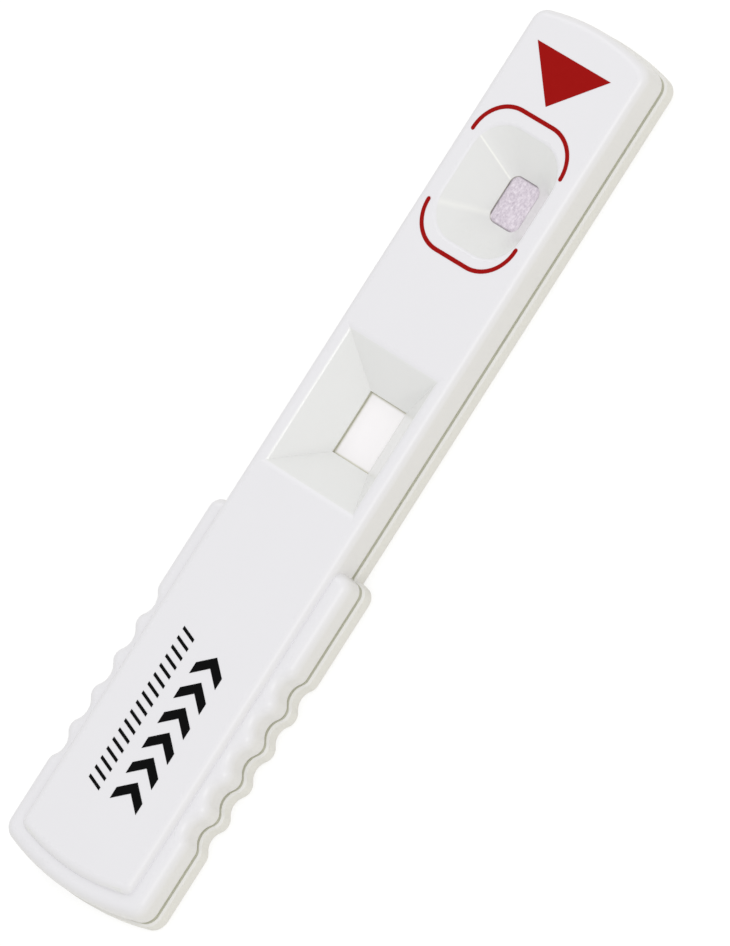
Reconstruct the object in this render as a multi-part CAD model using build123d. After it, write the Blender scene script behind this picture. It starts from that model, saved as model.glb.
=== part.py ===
"""Lateral-flow test cassette: two moulded half shells round a reagent strip, with a sample
well, a read window and a scalloped grip. Millimetres, +X towards the insertion end, +Z up,
origin under the middle of the cassette."""

from build123d import *
from math import atan2, cos, radians, sin, tan
import os

# Housing, overall
length = 90.0
height = 5.5
body_half_width = 7.24
grip_half_width = 8.97
grip_length = 37.75
shell_draft = 0.5
top_edge_radius = 0.85
bottom_bevel = 0.57

# Joint between the shells: the lower one stands proud, and a groove runs round above its rim
parting_height = 1.96
shell_step = 0.13
groove_height = 0.5
groove_depth = 0.38
rim_bevel = 0.2

# Housing ends in plan: each end is an arc that stands proud of its corners by a bow
front_bow = 1.05
front_corner_radius = 1.5
back_bow = 1.5
back_corner_radius = 1.6

# Grip flange
grip_front_bow = 0.95
grip_front_corner_radius = 1.25
flange_step = 0.7
flange_edge_radius = 1.0
flange_back_width = 1.8
plateau_back_bow = 1.05
plateau_back_corner_radius = 1.0

# Finger notches on each side of the grip
notch_count = 5
notch_pitch = 3.7
notch_depth = 0.72
notch_peak_radius = 1.2
notches_from_back = 18.15

# Moulded wall sections
top_wall = 1.1
floor_wall = 1.0
side_wall = 1.2
grip_wall = 1.1
funnel_wall = 0.9
inner_corner_radius = 0.4

# Sample well, a rounded funnel
well_from_front = 17.2
well_rim_length = 11.96
well_side_land = 1.16
well_rim_corner = 3.55
well_hole = (4.8, 3.56)
well_hole_corner = 0.9
well_lip = 0.12
well_rim_radius = 0.35

# Read window, a four-sided funnel
window_from_well = 24.03
window_rim_length = 14.18
window_side_land = 0.57
window_opening = (6.39, 4.54)
window_lip = 0.22
window_rim_radius = 1.0
window_clearance = 0.1

# Reagent strip, placed by the well and the window that look down on it
strip_width = 5.0
strip_length = 60.0
strip_front_from_well = 8.2
bed_height = 0.25
card_thickness = 0.25
card_margin = 0.5
membrane_thickness = 0.2
membrane_length = 26.0
membrane_front_from_window = 13.23
conjugate_thickness = 0.3
conjugate_length = 9.0
conjugate_lap = 3.0
fleece_thickness = 0.35
fleece_lap = 2.5
absorbent_thickness = 0.8
absorbent_lap = 2.0
lap_slope = 0.2

# Trough for the strip
trough_clearance = 0.15
rail_thickness = 0.7
rail_gap = 0.05
rib_width = 1.0
rib_pitch = 5.0

# Pressure bars under the top
bar_width = 1.0
bar_gap = 0.05
bar_inset = 1.5

# Six-sided press pins in six-sided sockets
pins_from_ends = 5.5
pins_from_window = 14.3
pin_radius = 0.8
pin_clearance = 0.02
pin_end_gap = 0.1
boss_radius = 1.3
boss_wall_gap = 0.1
socket_height = 2.0

# Print on the top face
ink_thickness = 0.03
print_turn = 0.5
print_shift = (0.1, 0.3)
bracket_end_gap = 1.28
bracket_side_gap = 0.38
bracket_stroke = 0.4
triangle_from_front = 3.74
triangle_length = 4.78
triangle_base = 9.1
marks_from_back = 9.1
tick_row_y = 2.35
tick_height = 1.7
tick_stroke = 0.32
tick_lean = 0.55
tick_count = 17
tick_pitch = 0.97
chevron_row_y = -1.6
chevron_height = 3.3
chevron_stroke = 1.15
chevron_reach = 1.35
chevron_count = 6
chevron_pitch = 2.62

# Places along the cassette that follow from the sizes above
front_x = length / 2
back_x = -length / 2
grip_front_x = back_x + grip_length
well_x = front_x - well_from_front
window_x = well_x - window_from_well
strip_front_x = well_x + strip_front_from_well
strip_back_x = strip_front_x - strip_length
membrane_front_x = window_x + membrane_front_from_window
membrane_back_x = membrane_front_x - membrane_length
conjugate_back_x = membrane_front_x - conjugate_lap
conjugate_front_x = conjugate_back_x + conjugate_length
fleece_back_x = conjugate_front_x - fleece_lap
fleece_front_x = strip_front_x - card_margin
absorbent_front_x = membrane_back_x + absorbent_lap

# Levels and widths that follow
skirt_z = parting_height + groove_height
upper_body_half_width = body_half_width - shell_step
upper_grip_half_width = grip_half_width - shell_step
flange_height = height - flange_step
draft_per_mm = tan(radians(shell_draft))
plateau_back_x = back_x + flange_back_width - (flange_height - parting_height) * draft_per_mm
top_half_width = upper_body_half_width - (height - parting_height) * draft_per_mm - top_edge_radius
well_rim = (well_rim_length, 2 * (top_half_width - well_side_land))
window_rim = (window_rim_length, 2 * (top_half_width - window_side_land))
bed_z = floor_wall + bed_height
card_top = bed_z + card_thickness
membrane_top = card_top + membrane_thickness
conjugate_top = card_top + conjugate_thickness
fleece_top = card_top + fleece_thickness
well_nose_z = fleece_top
well_floor_z = well_nose_z + well_lip
window_nose_z = membrane_top + window_clearance
window_floor_z = window_nose_z + window_lip
ceiling_z = height - top_wall
into_top_z = ceiling_z + top_wall / 4
socket_top_z = floor_wall + socket_height
trough_half_width = strip_width / 2 + trough_clearance
rail_top = min(well_nose_z, window_nose_z) - rail_gap
pin_y = body_half_width - side_wall - boss_wall_gap - boss_radius


def wave_angle():
    """Steepest turn of the notch wave: neighbouring arcs meet there, half a pitch apart."""
    return 2 * atan2(notch_depth, notch_pitch / 2)


def notch_centres():
    first = back_x + notches_from_back - (notch_count - 1) / 2 * notch_pitch
    return [first + index * notch_pitch for index in range(notch_count)]


def scalloped_side(half_width, start_x, end_x):
    """One long side of the grip, from back to front: straight, then the notches as arcs that
    run tangent into the peaks between them, then straight again."""
    turn = wave_angle()
    notch_radius = notch_pitch / 2 / sin(turn) - notch_peak_radius
    rise = notch_radius * (1 - cos(turn))
    half_span = notch_radius * sin(turn)
    low = half_width - notch_depth
    centres = notch_centres()
    wave_start = (centres[0] - notch_pitch / 2, half_width)
    edges = [Line((start_x, half_width), wave_start)]
    here = wave_start
    for x in centres:
        down = (x - half_span, low + rise)
        up = (x + half_span, low + rise)
        if x == centres[0]:
            edges.append(shoulder(here, down, falling=True))
        else:
            edges.append(ThreePointArc(here, (x - notch_pitch / 2, half_width), down))
        edges.append(ThreePointArc(down, (x, low), up))
        here = up
    wave_end = (centres[-1] + notch_pitch / 2, half_width)
    edges.append(shoulder(here, wave_end, falling=False))
    edges.append(Line(wave_end, (end_x, half_width)))
    return edges


def shoulder(start, end, falling):
    """Half of a peak arc, where the wave leaves or joins the straight side."""
    half_turn = wave_angle() / 2
    top = start if falling else end
    away = 1 if falling else -1
    centre_y = top[1] - notch_peak_radius
    middle = (
        top[0] + away * notch_peak_radius * sin(half_turn),
        centre_y + notch_peak_radius * cos(half_turn),
    )
    return ThreePointArc(start, middle, end)


def bowed_outline(half_width, back, back_rise, back_corner, front, front_rise, front_corner,
                  scalloped=False):
    """Plan outline with straight or scalloped sides and an outward arc at each end."""
    back_side = back + back_rise
    front_side = front - front_rise
    if scalloped:
        upper = scalloped_side(half_width, back_side, front_side)
    else:
        upper = [Line((back_side, half_width), (front_side, half_width))]
    lower = [edge.mirror(Plane.XZ) for edge in upper]
    front_end = ThreePointArc((front_side, -half_width), (front, 0), (front_side, half_width))
    back_end = ThreePointArc((back_side, half_width), (back, 0), (back_side, -half_width))
    face = make_face([front_end, *upper, back_end, *lower])
    face = fillet(face.vertices().sort_by(Axis.X)[:2], back_corner)
    return fillet(face.vertices().sort_by(Axis.X)[-2:], front_corner)


def body_outline(half_width, back, front, inset=0.0):
    """Plan of the narrow body and plateau, or of the pocket inside it at an inset."""
    back_corner = max(plateau_back_corner_radius - inset, inner_corner_radius)
    front_corner = max(front_corner_radius - inset, inner_corner_radius)
    return bowed_outline(
        half_width - inset, back + inset, plateau_back_bow, back_corner,
        front - inset, front_bow, front_corner,
    )


def grip_outline(half_width, back, front):
    return bowed_outline(
        half_width, back, back_bow, back_corner_radius,
        front, grip_front_bow, grip_front_corner_radius, scalloped=True,
    )


def raised(face, low, high, taper=0.0):
    return extrude(Pos(0, 0, low) * face, high - low, taper=taper)


def rounded_top(solid, radius):
    return fillet(solid.faces().sort_by(Axis.Z)[-1].edges(), radius)


def bevelled(solid):
    """Bevel a block along its top rim and along its underside."""
    rimmed = chamfer(solid.faces().sort_by(Axis.Z)[-1].edges(), rim_bevel)
    return chamfer(rimmed.faces().sort_by(Axis.Z)[0].edges(), bottom_bevel)


def upper_outside():
    """Plateau over the whole length, with the lower flange round three sides of the grip."""
    body = raised(
        body_outline(upper_body_half_width, plateau_back_x, front_x - shell_step),
        parting_height, height, shell_draft,
    )
    flange = raised(
        grip_outline(upper_grip_half_width, back_x + shell_step, grip_front_x - shell_step),
        parting_height, flange_height,
    )
    outside = rounded_top(body, top_edge_radius) + rounded_top(flange, flange_edge_radius)
    return outside - parting_groove()


def parting_groove():
    """Shadow groove above the joint: it leaves a land that stands on the lower shell's rim."""
    land = offset(lower_plan(), amount=-groove_depth)
    around = offset(lower_plan(), amount=groove_depth)
    return raised(around - land, parting_height, skirt_z)


def lower_plan():
    body = body_outline(body_half_width, plateau_back_x, front_x)
    return body + grip_outline(grip_half_width, back_x, grip_front_x)


def lower_outside():
    """Tray with the same plan as the top, a little larger, bevelled along rim and underside."""
    body = raised(body_outline(body_half_width, plateau_back_x, front_x), 0, parting_height)
    grip = raised(grip_outline(grip_half_width, back_x, grip_front_x), 0, parting_height)
    return bevelled(body) + bevelled(grip)


def cavity(low, body_top, grip_top):
    """Space inside the shells: the body's pocket, and the grip's wider one."""
    body = body_outline(body_half_width, plateau_back_x, front_x, side_wall)
    half = grip_half_width - notch_depth - grip_wall
    back = back_x + flange_back_width + grip_wall
    front = grip_front_x - grip_front_bow - grip_wall
    grip = Pos((back + front) / 2, 0, 0) * RectangleRounded(front - back, 2 * half, boss_radius)
    return raised(body, low, body_top) + raised(grip, low, grip_top)


def mirrored_face(edges):
    """Face between a chain of edges on the right of the centre line and its mirror image."""
    chain = Wire(edges)
    start = chain.position_at(0)
    end = chain.position_at(1)
    left = chain.mirror(Plane.YZ)
    base = Line((-start.X, start.Y), start)
    top = Line(end, (-end.X, end.Y))
    return make_face([base, *chain.edges(), top, *left.edges()])


def crossed(profiles, reach):
    """Solid whose side view along the cassette and across it are the two given profiles."""
    along = extrude(Plane.XZ * profiles[0], reach, both=True)
    return along & extrude(Plane.YZ * profiles[1], reach, both=True)


def hollow_profile(half_floor, half_rim, nose_z, floor_z, radius):
    """Hole, sloping wall and the arc that rounds the wall over into the top face."""
    slope = atan2(height - floor_z, half_rim - half_floor)
    run = radius * tan(slope / 2)
    foot = (half_rim - run * cos(slope), height - run * sin(slope))
    middle = (
        half_rim + run - radius * sin(slope / 2), height - radius + radius * cos(slope / 2)
    )
    brow = (half_rim + run, height)
    return mirrored_face([
        Line((half_floor, nose_z), (half_floor, floor_z)), Line((half_floor, floor_z), foot),
        ThreePointArc(foot, middle, brow), Line(brow, (brow[0], height + radius)),
    ])


def wall_profile(half_floor, half_rim, nose_z, floor_z):
    """Outside of a funnel's wall, from its nose up into the top wall."""
    share = (into_top_z - floor_z) / (height - floor_z)
    foot = half_floor + funnel_wall
    head = foot + (half_rim - half_floor) * share
    return mirrored_face([
        Line((foot, nose_z), (foot, floor_z)), Line((foot, floor_z), (head, into_top_z)),
    ])


def well_funnel():
    """Rounded loft from the hole up to the rim, and the hole itself."""
    hole = RectangleRounded(*well_hole, well_hole_corner)
    rim = RectangleRounded(*well_rim, well_rim_corner)
    hollow = loft([Pos(0, 0, well_floor_z) * hole, Pos(0, 0, height) * rim], ruled=True)
    return hollow + raised(hole, well_nose_z, well_floor_z)


def window_funnel():
    profiles = [
        hollow_profile(floor / 2, rim / 2, window_nose_z, window_floor_z, window_rim_radius)
        for floor, rim in zip(window_opening, window_rim)
    ]
    return crossed(profiles, window_rim_length)


def funnel_walls():
    """Flat-sided outsides of both funnels."""
    walls = []
    for x, hole, rim, nose_z, floor_z in (
        (well_x, well_hole, well_rim, well_nose_z, well_floor_z),
        (window_x, window_opening, window_rim, window_nose_z, window_floor_z),
    ):
        profiles = [
            wall_profile(floor / 2, top / 2, nose_z, floor_z) for floor, top in zip(hole, rim)
        ]
        walls.append(Pos(x, 0, 0) * crossed(profiles, rim[0]))
    return walls


def pin_places():
    stations = (
        back_x + pins_from_ends, window_x - pins_from_window,
        (window_x + well_x) / 2, front_x - pins_from_ends,
    )
    return [Pos(x, y, 0) for x in stations for y in (-pin_y, pin_y)]


def press_pins():
    """Six-sided bosses that land on the sockets, each with a pin that is pressed in."""
    foot = floor_wall + 2 * pin_end_gap
    solid = raised(RegularPolygon(boss_radius, 6), socket_top_z, into_top_z)
    solid += raised(RegularPolygon(pin_radius, 6), foot, socket_top_z)
    return [place * solid for place in pin_places()]


def pressure_bars():
    """Bars under the top that hold the laps of the strip down."""
    lap_tops = {
        membrane_front_x - bar_inset: membrane_top + conjugate_thickness,
        (absorbent_front_x + membrane_back_x) / 2: membrane_top + absorbent_thickness,
        (strip_back_x + membrane_back_x) / 2: card_top + absorbent_thickness,
    }
    bars = []
    for x, lap_top in lap_tops.items():
        plan = Pos(x, 0, 0) * Rectangle(bar_width, strip_width)
        bars.append(raised(plan, lap_top + bar_gap, into_top_z))
    return bars


def make_upper_housing():
    shell = upper_outside() - cavity(parting_height, ceiling_z, flange_height - top_wall)
    shell += funnel_walls()
    shell += press_pins() + pressure_bars()
    shell -= Pos(well_x, 0, 0) * well_funnel()
    shell -= Pos(window_x, 0, 0) * window_funnel()
    top = shell.faces().sort_by(Axis.Z)[-1]
    rim = max(top.inner_wires(), key=lambda wire: wire.center().X)
    return fillet(rim.edges(), well_rim_radius)


def strip_trough():
    """Rails and end stops round the strip, with cross ribs as its bed."""
    middle = (strip_back_x + strip_front_x) / 2
    inner = (strip_length + 2 * trough_clearance, 2 * trough_half_width)
    outer = [size + 2 * rail_thickness for size in inner]
    rails = raised(Pos(middle, 0, 0) * Rectangle(*outer), floor_wall, rail_top)
    channel = raised(Pos(middle, 0, 0) * Rectangle(*inner), floor_wall, socket_top_z)
    rib_count = int(strip_length / rib_pitch) + 1
    first = middle - (rib_count - 1) / 2 * rib_pitch
    ribs = []
    for index in range(rib_count):
        plan = Pos(first + index * rib_pitch, 0, 0) * Rectangle(rib_width, inner[1])
        ribs.append(raised(plan, floor_wall, bed_z))
    return rails, channel, ribs


def sockets():
    wall = raised(RegularPolygon(boss_radius, 6), floor_wall, socket_top_z)
    hole = RegularPolygon(pin_radius + pin_clearance, 6)
    bore = raised(hole, floor_wall + pin_end_gap, socket_top_z)
    return [place * (wall - bore) for place in pin_places()]


def make_lower_housing():
    """The strip's channel is cut last, so nothing else in the tray stands in it."""
    rails, channel, ribs = strip_trough()
    shell = lower_outside() - cavity(floor_wall, parting_height, parting_height)
    return (shell + rails + sockets()) - channel + ribs


def layer(points):
    """Strip layer: a side profile in X and Z, as wide as the strip."""
    face = make_face(Plane.XZ * Polyline(*points, close=True))
    return extrude(face, strip_width / 2, both=True)


def plain_layer(back, front, low, thickness):
    return layer([(back, low), (front, low), (front, low + thickness), (back, low + thickness)])


def lapped_layer(lap_end, step, far_end, lap_z, rest_z, thickness):
    """Layer that lies on its neighbour from the lap end to the step, then on the card."""
    slope = lap_slope if far_end > step else -lap_slope
    return layer([
        (lap_end, lap_z), (step, lap_z), (step, rest_z), (far_end, rest_z),
        (far_end, rest_z + thickness), (step + slope, rest_z + thickness),
        (step, lap_z + thickness), (lap_end, lap_z + thickness),
    ])


def reagent_strip():
    """The strip's layers from the card up, each seated on the one below."""
    return {
        "backing_card": plain_layer(strip_back_x, strip_front_x, bed_z, card_thickness),
        "membrane": plain_layer(
            membrane_back_x, membrane_front_x, card_top, membrane_thickness
        ),
        "conjugate_pad": lapped_layer(
            conjugate_back_x, membrane_front_x, conjugate_front_x,
            membrane_top, card_top, conjugate_thickness,
        ),
        "sample_fleece": lapped_layer(
            fleece_back_x, conjugate_front_x, fleece_front_x,
            conjugate_top, card_top, fleece_thickness,
        ),
        "absorbent_pad": lapped_layer(
            absorbent_front_x, membrane_back_x, strip_back_x,
            membrane_top, card_top, absorbent_thickness,
        ),
    }


def ink(face):
    return raised(face, height, height + ink_thickness)


def well_bracket(end):
    """Round-ended stroke round one end of the well: end is 1 for the front, -1 for the back."""
    half = bracket_stroke / 2
    half_length = well_rim[0] / 2 + bracket_end_gap
    half_width = well_rim[1] / 2 + bracket_side_gap
    rings = [
        RectangleRounded(
            2 * (half_length + grow), 2 * (half_width + grow), well_rim_corner + grow
        )
        for grow in (half, -half)
    ]
    reach = half_length - well_rim_corner
    keep = Pos(end * (reach + half_length), 0) * Rectangle(2 * half_length, 3 * half_width)
    stroke = (rings[0] - rings[1]) & keep
    for side in (-1, 1):
        stroke += Pos(end * reach, side * half_width) * Circle(half)
    return stroke


def printed(face):
    """Red print is laid down in one pass round the well, a little off the middle and turned."""
    return ink(Pos(well_x + print_shift[0], print_shift[1], 0) * Rot(0, 0, print_turn) * face)


def direction_triangle():
    base = well_from_front - triangle_from_front - print_shift[0]
    tip = base - triangle_length
    half = triangle_base / 2
    return make_face(Polyline((tip, 0), (base, -half), (base, half), close=True))


def grip_marks():
    """Plain two-row marking: a row of thin leaning ticks over a row of bold chevrons."""
    marks = []
    first_x = back_x + marks_from_back
    half = tick_height / 2
    for index in range(tick_count):
        x = first_x + index * tick_pitch
        marks.append(make_face(Polyline(
            (x, tick_row_y - half), (x + tick_stroke, tick_row_y - half),
            (x + tick_stroke + tick_lean, tick_row_y + half), (x + tick_lean, tick_row_y + half),
            close=True,
        )))
    half = chevron_height / 2
    for index in range(chevron_count):
        x = first_x + index * chevron_pitch
        marks.append(make_face(Polyline(
            (x, chevron_row_y - half), (x + chevron_stroke, chevron_row_y - half),
            (x + chevron_stroke + chevron_reach, chevron_row_y),
            (x + chevron_stroke, chevron_row_y + half), (x, chevron_row_y + half),
            (x + chevron_reach, chevron_row_y), close=True,
        )))
    return Compound([ink(mark) for mark in marks])


def build_parts():
    parts = {
        "upper_housing": make_upper_housing(),
        "lower_housing": make_lower_housing(),
        "front_bracket_print": printed(well_bracket(1)),
        "rear_bracket_print": printed(well_bracket(-1)),
        "direction_print": printed(direction_triangle()),
        "grip_print": grip_marks(),
    }
    parts.update(reagent_strip())
    return parts


os.makedirs("parts", exist_ok=True)
for node, solid in build_parts().items():
    export_step(solid, f"parts/{node}.step")
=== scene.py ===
"""Studio model of a moulded test cassette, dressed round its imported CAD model."""

from math import cos, pi, radians, sin

import bpy
import numpy as np
from mathutils import Matrix, Vector


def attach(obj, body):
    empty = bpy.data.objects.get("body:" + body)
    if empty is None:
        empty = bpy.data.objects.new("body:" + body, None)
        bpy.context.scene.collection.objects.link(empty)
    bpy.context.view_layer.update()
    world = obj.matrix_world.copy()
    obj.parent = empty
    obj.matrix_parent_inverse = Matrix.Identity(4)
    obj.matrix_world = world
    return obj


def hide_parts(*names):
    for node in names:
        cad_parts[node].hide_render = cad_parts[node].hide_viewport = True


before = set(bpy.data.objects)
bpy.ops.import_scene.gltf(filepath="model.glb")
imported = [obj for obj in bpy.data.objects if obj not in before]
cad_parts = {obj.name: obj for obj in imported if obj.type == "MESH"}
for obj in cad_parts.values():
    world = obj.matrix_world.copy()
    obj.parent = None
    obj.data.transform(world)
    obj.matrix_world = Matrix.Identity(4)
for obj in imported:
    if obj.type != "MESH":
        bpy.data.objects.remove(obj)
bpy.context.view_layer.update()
scene = bpy.context.scene


# Camera
# It looks down on one long side from a long way off, rolled so that the cassette climbs
# steeply to the right. The scale is the photograph's own, in a frame 946 pixels high.
frame_height = 946
tilt = radians(34.25)
turn = radians(57.55)
pixels_per_metre = 11312
camera_distance = 1.2
sensor_height = 36
aim = Vector((0.00052, -0.00434, 0.0055))

toward_camera = Vector((0, -sin(tilt), cos(tilt)))
across = Vector((0, cos(tilt), sin(tilt)))
right = Vector((cos(turn), 0, 0)) - sin(turn) * across
up = Vector((sin(turn), 0, 0)) + cos(turn) * across
stand = Matrix.Translation(aim + camera_distance * toward_camera)
facing = Matrix((right, up, toward_camera)).transposed().to_4x4()

camera_data = bpy.data.cameras.new("camera")
camera_data.sensor_fit = "VERTICAL"
camera_data.sensor_height = sensor_height
camera_data.lens = sensor_height * pixels_per_metre * camera_distance / frame_height
camera_data.clip_start = 0.01
camera_data.clip_end = 20
camera = bpy.data.objects.new("camera", camera_data)
camera.matrix_world = stand @ facing
scene.collection.objects.link(camera)
scene.camera = camera
scene.view_settings.view_transform = "Standard"


# Studio light
# A white tent lights the cassette evenly, and is plain white where it is seen directly. Two
# softboxes on the camera's side bring out the edges, and a third fills from behind. Each has
# its watts, its size and its place, in metres.
tent_level = 0.79
softboxes = {
    "key_softbox": (1.65, 0.32, Vector((0.10, -0.52, 0.78))),
    "fill_softbox": (0.75, 0.40, Vector((0.42, 0.46, 0.55))),
    "strip_softbox": (0.28, 0.07, Vector((-0.47, -0.55, 0.34))),
}


class Signal:
    """A shader socket. An expression on signals and numbers adds the Math nodes that do it."""

    def __init__(self, tree, socket):
        self.tree = tree
        self.socket = socket

    def node(self, kind, settings=None, sockets=None, output=0):
        """Any node: its type, its settings, set first, and its sockets' values or links."""
        made = self.tree.nodes.new(kind)
        for name, value in (settings or {}).items():
            setattr(made, name, value)
        for name, value in (sockets or {}).items():
            if isinstance(value, Signal):
                self.tree.links.new(value.socket, made.inputs[name])
            else:
                made.inputs[name].default_value = value
        return Signal(self.tree, made.outputs[output])

    def into(self, socket):
        """Link the signal to a socket."""
        self.tree.links.new(self.socket, socket)

    def maths(self, operation, *values):
        """Math node on one or two values."""
        return self.node("ShaderNodeMath", {"operation": operation}, dict(enumerate(values)))

    def __add__(self, other):
        return self.maths("ADD", self, other)

    def __radd__(self, other):
        return self.maths("ADD", other, self)

    def __sub__(self, other):
        return self.maths("SUBTRACT", self, other)

    def __rsub__(self, other):
        return self.maths("SUBTRACT", other, self)

    def __mul__(self, other):
        return self.maths("MULTIPLY", self, other)

    def __rmul__(self, other):
        return self.maths("MULTIPLY", other, self)

    def __truediv__(self, other):
        return self.maths("DIVIDE", self, other)

    def __rtruediv__(self, other):
        return self.maths("DIVIDE", other, self)

    def __abs__(self):
        return self.maths("ABSOLUTE", self)


world = bpy.data.worlds.new("tent")
world.use_nodes = True
scene.world = world
tent = world.node_tree.nodes["Background"]
seen = Signal(world.node_tree, None).node("ShaderNodeLightPath", output="Is Camera Ray")
(tent_level + (1 - tent_level) * seen).into(tent.inputs["Strength"])
tent.inputs["Color"].default_value = (1.0, 1.0, 1.0, 1)

for name, (watts, size, place) in softboxes.items():
    softbox_data = bpy.data.lights.new(name, "AREA")
    softbox_data.shape = "SQUARE"
    softbox_data.size = size
    softbox_data.energy = watts
    softbox = bpy.data.objects.new(name, softbox_data)
    softbox.location = place
    softbox.rotation_euler = (-place).to_track_quat("-Z", "Y").to_euler()
    scene.collection.objects.link(softbox)


# Floor
# A sheet of paper under the cassette. Seen directly it is as white as the tent, with the
# cassette's soft shadow on it, and gloss shows it so too. It lights the sides as warm paper.
floor_half = 2.0
floor_drop = 0.00002
paper_colour = (0.755, 0.735, 0.60, 1)
shadow_share = 0.30
floor_glow = 0.76

corners = ((-1, -1), (1, -1), (1, 1), (-1, 1))
floor_mesh = bpy.data.meshes.new("floor")
floor_mesh.from_pydata(
    [(floor_half * x, floor_half * y, -floor_drop) for x, y in corners], [], [(0, 1, 2, 3)],
)
floor = bpy.data.objects.new("floor", floor_mesh)
scene.collection.objects.link(floor)

paper = bpy.data.materials.new("paper")
paper.use_nodes = True
paper.node_tree.nodes.clear()
start = Signal(paper.node_tree, None)
from_camera = start.node("ShaderNodeLightPath", output="Is Camera Ray")
from_gloss = start.node("ShaderNodeLightPath", output="Is Glossy Ray")
sheet = start.node("ShaderNodeBsdfDiffuse", None, {"Color": paper_colour})
shadowed = start.node(
    "ShaderNodeBsdfDiffuse", None, {"Color": (shadow_share, shadow_share, shadow_share, 1)},
)
glow = start.node("ShaderNodeEmission", None, {"Color": (1, 1, 1, 1), "Strength": floor_glow})
bright = start.node("ShaderNodeAddShader", None, {0: shadowed, 1: glow})
laid_paper = start.node(
    "ShaderNodeMixShader", None, {0: from_camera + from_gloss, 1: sheet, 2: bright},
)
paper_output = paper.node_tree.nodes.new("ShaderNodeOutputMaterial")
laid_paper.into(paper_output.inputs["Surface"])
floor_mesh.materials.append(paper)


# Lower shell
# The tray of the cassette, injection moulded in a warmer white than the top. The tool's
# spark-eroded skin leaves a fine satin grain, and the melt a faint cloudiness.
mm_per_metre = 1000.0
ivory = (0.812, 0.804, 0.795)
# Painted shade: the grey that stands in for the shade in the joint's groove and under the lips.
groove_shade_grey = (0.56, 0.56, 0.46)
rim_level = 1.94
gap_sharpness = 40.0
cloud_share = 0.7
skin_grain = 0.08
skin_flow = 0.04
wave_depth = 0.012
plastic_ior = 1.53


def new_material(name):
    """A material, its Principled shader, and the object's coordinates in millimetres."""
    material = bpy.data.materials.new(name)
    material.use_nodes = True
    tree = material.node_tree
    place = Signal(tree, None).node("ShaderNodeTexCoord", output="Object")
    point = place.node(
        "ShaderNodeVectorMath", {"operation": "SCALE"}, {0: place, "Scale": mm_per_metre},
    )
    return material, tree.nodes["Principled BSDF"], point


def noise(point, per_mm, detail=2.0, roughness=0.5, distortion=0.0):
    """Cloudy pattern from 0 to 1 with the given number of clouds to the millimetre."""
    return point.node(
        "ShaderNodeTexNoise", {"noise_dimensions": "3D"},
        {"Vector": point, "Scale": per_mm, "Detail": detail, "Roughness": roughness,
         "Distortion": distortion}, "Fac",
    )


def mixed(mask, low, high):
    """Colour from low to high as the mask goes from 0 to 1. Low may be a signal."""
    if not isinstance(low, Signal):
        low = (*low, 1)
    return mask.node("ShaderNodeMix", {"data_type": "RGBA"}, {0: mask, 6: low, 7: (*high, 1)}, 2)


def bump(height, millimetres, normal=None):
    """Relief as deep as the height signal times a distance, over another one if it is given."""
    sockets = {"Height": height, "Distance": millimetres / mm_per_metre, "Strength": 1.0}
    if normal:
        sockets["Normal"] = normal
    return height.node("ShaderNodeBump", None, sockets)


def upright(point, axis):
    """One coordinate of a point in millimetres: 0, 1 or 2 for x, y or z."""
    return point.node("ShaderNodeSeparateXYZ", None, {0: point}, axis)


def clamped(signal):
    """The signal, kept between 0 and 1."""
    return signal.node("ShaderNodeClamp", None, {0: signal})


def moulded(name, colour, cloud, grain_depth, roughness, gap_shade_mask, funnels=None):
    """Moulded plastic: clouded colour, satin grain and a soft orange-peel waviness. The gap
    mask of a point says where a narrow gap is painted grey, for the shade in it. Funnels,
    where given, changes colour and skin."""
    material, shader, point = new_material(name)
    clouds = noise(point, per_mm=0.16, detail=3.0, roughness=0.55)
    flow = noise(point, per_mm=0.7, distortion=0.6)
    grain = noise(point, per_mm=7.0, roughness=0.6)
    waves = noise(point, per_mm=0.35, detail=1.0)
    darker = [channel * (1 - cloud) for channel in colour]
    lighter = [channel * (1 + cloud) for channel in colour]
    clean = mixed(cloud_share * clouds + (1 - cloud_share) * flow, darker, lighter)
    skin = roughness + skin_grain * (grain - 0.5) + skin_flow * (flow - 0.5)
    if funnels:
        clean, skin = funnels(point, clean, skin)
    mixed(gap_shade_mask(point), clean, groove_shade_grey).into(shader.inputs["Base Color"])
    skin.into(shader.inputs["Roughness"])
    bump(grain, grain_depth, bump(waves, wave_depth)).into(shader.inputs["Normal"])
    shader.inputs["IOR"].default_value = plastic_ior
    return material


def dress(node, material):
    """Give a CAD node's own object its material."""
    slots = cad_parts[node].data.materials
    slots.clear()
    slots.append(material)


def tray_gap_shade(point):
    """Painted shade: grey on the rim's flat top, which is the floor of the joint's groove."""
    return clamped(gap_sharpness * (upright(point, 2) - rim_level))


dress("lower_housing", moulded(
    "ivory_plastic", ivory, cloud=0.012, grain_depth=0.0012, roughness=0.44, gap_shade_mask=tray_gap_shade,
))


# Backing card
# A strip of glossy white polyester card that carries the layers. It is cut from a sheet and
# lies in the tray's trough, between the rails.
card_white = (0.86, 0.87, 0.88)
card_cloudiness = 0.015
card_roughness = 0.28
roughness_spread = 0.10
card_relief = 0.001

card_material, card_shader, card_point = new_material("backing_card")
card_cloud = noise(card_point, per_mm=0.5)
card_dull = [channel * (1 - card_cloudiness) for channel in card_white]
mixed(card_cloud, card_dull, card_white).into(card_shader.inputs["Base Color"])
(card_roughness + roughness_spread * card_cloud).into(card_shader.inputs["Roughness"])
bump(noise(card_point, per_mm=5.0), card_relief).into(card_shader.inputs["Normal"])
dress("backing_card", card_material)


# Membrane
# Cast nitrocellulose on its film, laid on the middle of the card. It is bright white and
# quite matt, with fine open pores. Beyond the window's opening it is painted darker, for
# the shade under the lip.
membrane_white = (0.96, 0.94, 0.95)
membrane_cloudiness = 0.025
membrane_roughness = 0.86
membrane_specular = 0.2
pore_share = 0.6
pore_depth = 0.003
window_centre = 3.77
window_half = (3.195, 2.27)
window_shade = (0.66, 0.65, 0.52)
window_shade_width = 0.22


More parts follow.
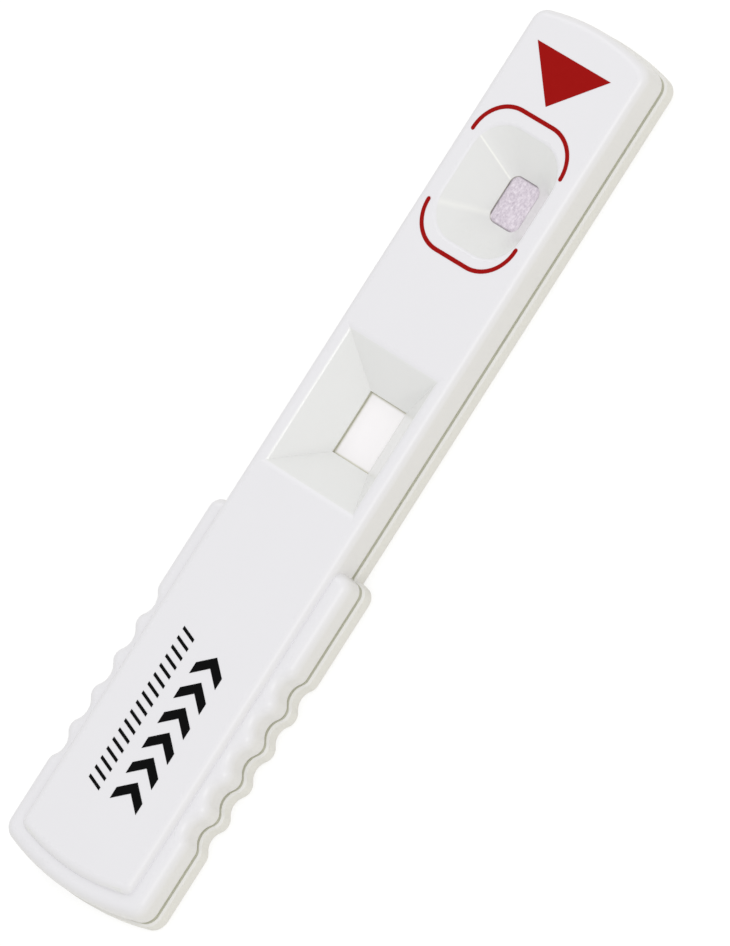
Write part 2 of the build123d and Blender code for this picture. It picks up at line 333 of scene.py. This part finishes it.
def rim_shade(point, centre_x, half, width):
    """Mask that is 1 beyond a rectangle's edge and falls to 0 a width inside it."""
    past_ends = abs(upright(point, 0) - centre_x) - half[0]
    past_sides = abs(upright(point, 1)) - half[1]
    return clamped(point.maths("MAXIMUM", past_ends, past_sides) / width + 1)


membrane_material, membrane_shader, membrane_point = new_material("membrane")
pores = noise(membrane_point, per_mm=14.0, detail=3.0, roughness=0.65)
drift = noise(membrane_point, per_mm=0.6)
membrane_dull = [channel * (1 - membrane_cloudiness) for channel in membrane_white]
cast = mixed(pore_share * pores + (1 - pore_share) * drift, membrane_dull, membrane_white)
window_edge = rim_shade(membrane_point, window_centre, window_half, window_shade_width)
mixed(window_edge, cast, window_shade).into(membrane_shader.inputs["Base Color"])
(membrane_roughness + roughness_spread * pores).into(membrane_shader.inputs["Roughness"])
bump(pores, pore_depth).into(membrane_shader.inputs["Normal"])
membrane_shader.inputs["Specular IOR Level"].default_value = membrane_specular
dress("membrane", membrane_material)


# Fibre pads
# The conjugate pad, the sample fleece and the absorbent pad are cut from rolls of fibre
# felt. Each lies on the card and laps over the end of its neighbour.
strip_half_width = 2.5
pad_edge = 0.12
ring_pitch = 0.09
ring_columns = 56
corner_steps = 4
card_top = 1.5
membrane_top = 1.7
conjugate_top = 1.8
lap_slope = 0.2
relief_waves = 36
relief_pitch = (0.25, 1.4)
relief_spread = 2.2
fibre_runs = ((0.35, 2.6), (1.5, 3.1), (2.5, 2.3))
fibre_stretch = 0.35
fibre_thinness = 14.0
fibre_cover = 0.35
felt_web = 0.45
felt_blotch = 1.9
felt_pale = 0.38
felt_fuzz = 0.3
felt_roughness = 0.88
felt_specular = 0.15
well_centre = 27.8
well_half = (2.4, 1.78)
well_shade = (0.26, 0.23, 0.26)
well_shade_width = 0.2


def felt_relief(x, y, seed):
    """How deep the felt sinks, from 0 to 1: the mean of many sine waves of random direction,
    pitch and phase, squared so that the hollows are narrower than the swells."""
    rng = np.random.default_rng(seed)
    pitches = rng.uniform(*relief_pitch, relief_waves)
    headings = rng.uniform(0, pi, relief_waves)
    phases = rng.uniform(0, 2 * pi, relief_waves)
    total = np.zeros_like(x)
    for pitch, heading, phase in zip(pitches, headings, phases):
        total += np.sin(2 * pi * (x * np.cos(heading) + y * np.sin(heading)) / pitch + phase)
    return np.clip(0.5 + total / (relief_spread * np.sqrt(relief_waves)), 0, 1) ** 2


def felt_pad(name, lap_end, step, far_end, lap_level, rest_level, thickness, relief, seed):
    """Pad as rings along its length, in millimetres. The underside is at lap_level up to the
    step and at rest_level past it, and the top, a thickness above, slopes from one to the
    other. A ring runs round a rectangle with rounded corners between the two levels, drawn
    in by the same rounding at the pad's ends, and its top sinks by the felt's relief."""
    stations = int(abs(far_end - lap_end) / ring_pitch)
    x = np.linspace(lap_end, far_end, stations)
    way = 1 if far_end > lap_end else -1
    past = (x - step) * way
    under = np.where(past < 0, lap_level, rest_level)
    upper = thickness + lap_level + (rest_level - lap_level) * np.clip(past / lap_slope, 0, 1)
    from_end = np.minimum(np.abs(x - lap_end), np.abs(far_end - x))
    draw_in = pad_edge - np.sqrt(pad_edge**2 - np.clip(pad_edge - from_end, 0, pad_edge) ** 2)

    quarter = np.linspace(0, pi / 2, corner_steps)
    flat = strip_half_width - pad_edge
    side = flat + pad_edge * np.concatenate([np.sin(quarter), np.cos(quarter)])
    lift = pad_edge * np.concatenate([1 - np.cos(quarter), np.sin(quarter) - 1])
    top_run = np.linspace(flat, -flat, ring_columns)[1:-1]
    ring_y = np.concatenate([side, top_run, -side[::-1], [0.0]])
    ring_lift = np.concatenate([lift, np.zeros(len(top_run)), lift[::-1], [0.0]])
    low = np.zeros(corner_steps, dtype=bool)
    on_top = np.concatenate([low, ~low, np.ones(len(top_run), dtype=bool), ~low, low, [False]])

    y = ring_y * (1 - draw_in[:, None] / strip_half_width)
    z = np.where(on_top, (upper - draw_in)[:, None], (under + draw_in)[:, None]) + ring_lift
    grid_x = np.broadcast_to(x[:, None], y.shape)
    z = z - relief * on_top * felt_relief(grid_x, y, seed)
    points = np.stack([grid_x, y, z], axis=2).reshape(-1, 3) / mm_per_metre

    count = len(ring_y)
    column = np.arange(count)
    beside = (column + 1) % count
    row = np.arange(stations - 1)[:, None] * count
    quads = np.stack([
        row + column, row + beside, row + count + beside, row + count + column,
    ], axis=2).reshape(-1, 4)
    caps = np.stack([column[::-1], (stations - 1) * count + column])
    faces = quads[:, ::way].tolist() + caps[:, ::way].tolist()

    mesh = bpy.data.meshes.new(name)
    mesh.from_pydata(points.tolist(), [], faces)
    mesh.polygons.foreach_set("use_smooth", np.ones(len(mesh.polygons), dtype=bool))
    pad = bpy.data.objects.new(name, mesh)
    scene.collection.objects.link(pad)
    return pad


def strands(point, heading, per_mm):
    """Fine fibres along one heading: thin lines where stretched noise crosses its middle."""
    laid = point.node(
        "ShaderNodeMapping", None,
        {"Vector": point, "Rotation": (0, 0, heading), "Scale": (fibre_stretch, 1.0, 1.0)},
    )
    field = noise(laid, per_mm, distortion=0.4)
    return clamped(1 - fibre_thinness * abs(field - 0.5))


def felt(name, deep, pale, fibre_depth):
    """Fibre felt: crossing pale strands over a deeper ground, blotched and quite matt. All
    that lies beyond the well's hole is painted darker, for the shade under the lip."""
    material, shader, point = new_material(name)
    web = fibre_cover * sum(strands(point, heading, per_mm) for heading, per_mm in fibre_runs)
    blotch = noise(point, per_mm=3.4, detail=3.0, roughness=0.65)
    fuzz = noise(point, per_mm=9.0, detail=3.0)
    ground = mixed(
        clamped(felt_web * web + felt_blotch * (blotch - 0.5) + felt_pale), deep, pale,
    )
    well_edge = rim_shade(point, well_centre, well_half, well_shade_width)
    mixed(well_edge, ground, well_shade).into(shader.inputs["Base Color"])
    (felt_roughness + roughness_spread * blotch).into(shader.inputs["Roughness"])
    bump((1 - felt_fuzz) * web + felt_fuzz * fuzz, fibre_depth).into(shader.inputs["Normal"])
    shader.inputs["Specular IOR Level"].default_value = felt_specular
    return material


for name, node, slot, material, sizes in (
    ("conjugate_felt", "conjugate_pad", "conjugate_fibre",
     felt("conjugate_felt", (0.50, 0.30, 0.37), (0.66, 0.46, 0.52), fibre_depth=0.02),
     {"lap_end": 14.0, "step": 17.0, "far_end": 23.0, "lap_level": membrane_top,
      "rest_level": card_top, "thickness": 0.3, "relief": 0.02, "seed": 3}),
    ("sample_felt", "sample_fleece", "lilac_fleece",
     felt("sample_felt", (0.56, 0.49, 0.57), (0.90, 0.83, 0.90), fibre_depth=0.03),
     {"lap_end": 20.5, "step": 23.0, "far_end": 35.5, "lap_level": conjugate_top,
      "rest_level": card_top, "thickness": 0.35, "relief": 0.05, "seed": 5}),
    ("absorbent_felt", "absorbent_pad", "absorbent_paper",
     felt("absorbent_felt", (0.84, 0.82, 0.78), (0.92, 0.91, 0.88), fibre_depth=0.03),
     {"lap_end": -7.0, "step": -9.0, "far_end": -24.0, "lap_level": membrane_top,
      "rest_level": card_top, "thickness": 0.8, "relief": 0.05, "seed": 7}),
):
    pad = felt_pad(name, **sizes)
    pad.data.materials.append(material)
    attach(pad, "root")
    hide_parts(node)


# Upper shell
# The top of the cassette, moulded in a cool satin white with the well, the window and the
# finger grips in one piece. Its pins are pressed into the tray's sockets.
cool_white = (0.800, 0.793, 0.815)
inner_half = (42.6, 6.3)
inner_fade = 0.4
# Painted shade: below these levels the skirt and the lips at the foot of the well and window are
# grey.
skirt_level = 2.48
nose_level = 1.97
brow_level = 5.40
brow_sharpness = 12.0
polish_gain = 0.14
# Painted bounce light: the well and the window are painted this warmer white.
funnel_bounce_white = (0.800, 0.802, 0.790)
# Painted highlights: two pale lines on the well's far wall, each with its foot, heading, width
# and strength.
highlight_white = (0.98, 0.98, 0.93)
line_start = 1.5
line_sharpness = 4.0
painted_highlights = (
    {"foot": (29.50, 1.80), "heading": radians(58), "width": 0.13, "strength": 0.95},
    {"foot": (25.95, 1.80), "heading": radians(117), "width": 0.45, "strength": 0.35},
)


def top_gap_shade(point):
    """Painted shade: grey under the skirt all round, and on the lips at the foot of the well and
    window.
    """
    outside = rim_shade(point, 0.0, inner_half, inner_fade)
    level = nose_level + (skirt_level - nose_level) * outside
    return clamped(gap_sharpness * (level - upright(point, 2)))


def pale_line(point, foot, heading, width, strength):
    """Painted highlight: a soft line over the far side, out from near a corner of the well's
    hole. It is 1 less the distance from the line over its width."""
    off_x = upright(point, 0) - foot[0]
    off_y = upright(point, 1) - foot[1]
    away = abs(off_x * sin(heading) - off_y * cos(heading))
    far_side = clamped(line_sharpness * (upright(point, 1) - line_start))
    return strength * clamped(1 - away / width) * far_side


def funnel_skin(point, clean, skin):
    """The well and the window are polished in the tool, down from their brows, and painted
    warmer, for the light that bounces between their walls. Two painted highlights over the
    well's far wall stand in for the highlights that the photograph shows there, which the
    shape doesn't give."""
    inside = 1 - rim_shade(point, 0.0, inner_half, inner_fade)
    funnels = inside * clamped(brow_sharpness * (brow_level - upright(point, 2)))
    colour = mixed(funnels, clean, funnel_bounce_white)
    for line in painted_highlights:
        colour = mixed(funnels * pale_line(point, **line), colour, highlight_white)
    return colour, skin - polish_gain * funnels


dress("upper_housing", moulded(
    "white_plastic", cool_white, cloud=0.010, grain_depth=0.0010, roughness=0.36,
    gap_shade_mask=top_gap_shade, funnels=funnel_skin,
))


# Red print
# Brackets and a direction triangle, pad printed in one pass of dark red ink. The film is
# a little uneven where the pad lifts off.
ink_red = (0.310, 0.0045, 0.004)
thin_red = (0.355, 0.008, 0.0065)
ink_roughness = 0.55
ink_specular = 0.03
patch_share = 0.5
pit_share = 0.3
pit_roughness = 0.12
pit_depth = 0.002


def ink(name, full, thin):
    """Ink film: thicker and thinner patches with fine pits and a slight sheen."""
    material, shader, point = new_material(name)
    patches = noise(point, per_mm=1.1, detail=3.0, roughness=0.6)
    pits = noise(point, per_mm=9.0, roughness=0.6)
    thinness = patch_share * patches + pit_share * pits
    mixed(thinness, full, thin).into(shader.inputs["Base Color"])
    (ink_roughness + pit_roughness * pits).into(shader.inputs["Roughness"])
    bump(pits, pit_depth).into(shader.inputs["Normal"])
    shader.inputs["Specular IOR Level"].default_value = ink_specular
    return material


red_ink = ink("red_ink", ink_red, thin_red)
for node in ("direction_print", "front_bracket_print", "rear_bracket_print"):
    dress(node, red_ink)


# Grip print
# A row of plain ticks and a row of chevrons on the grip, pad printed in black ink in a
# second pass.
ink_black = (0.002, 0.002, 0.002)
thin_black = (0.006, 0.006, 0.0065)

dress("grip_print", ink("black_ink", ink_black, thin_black))
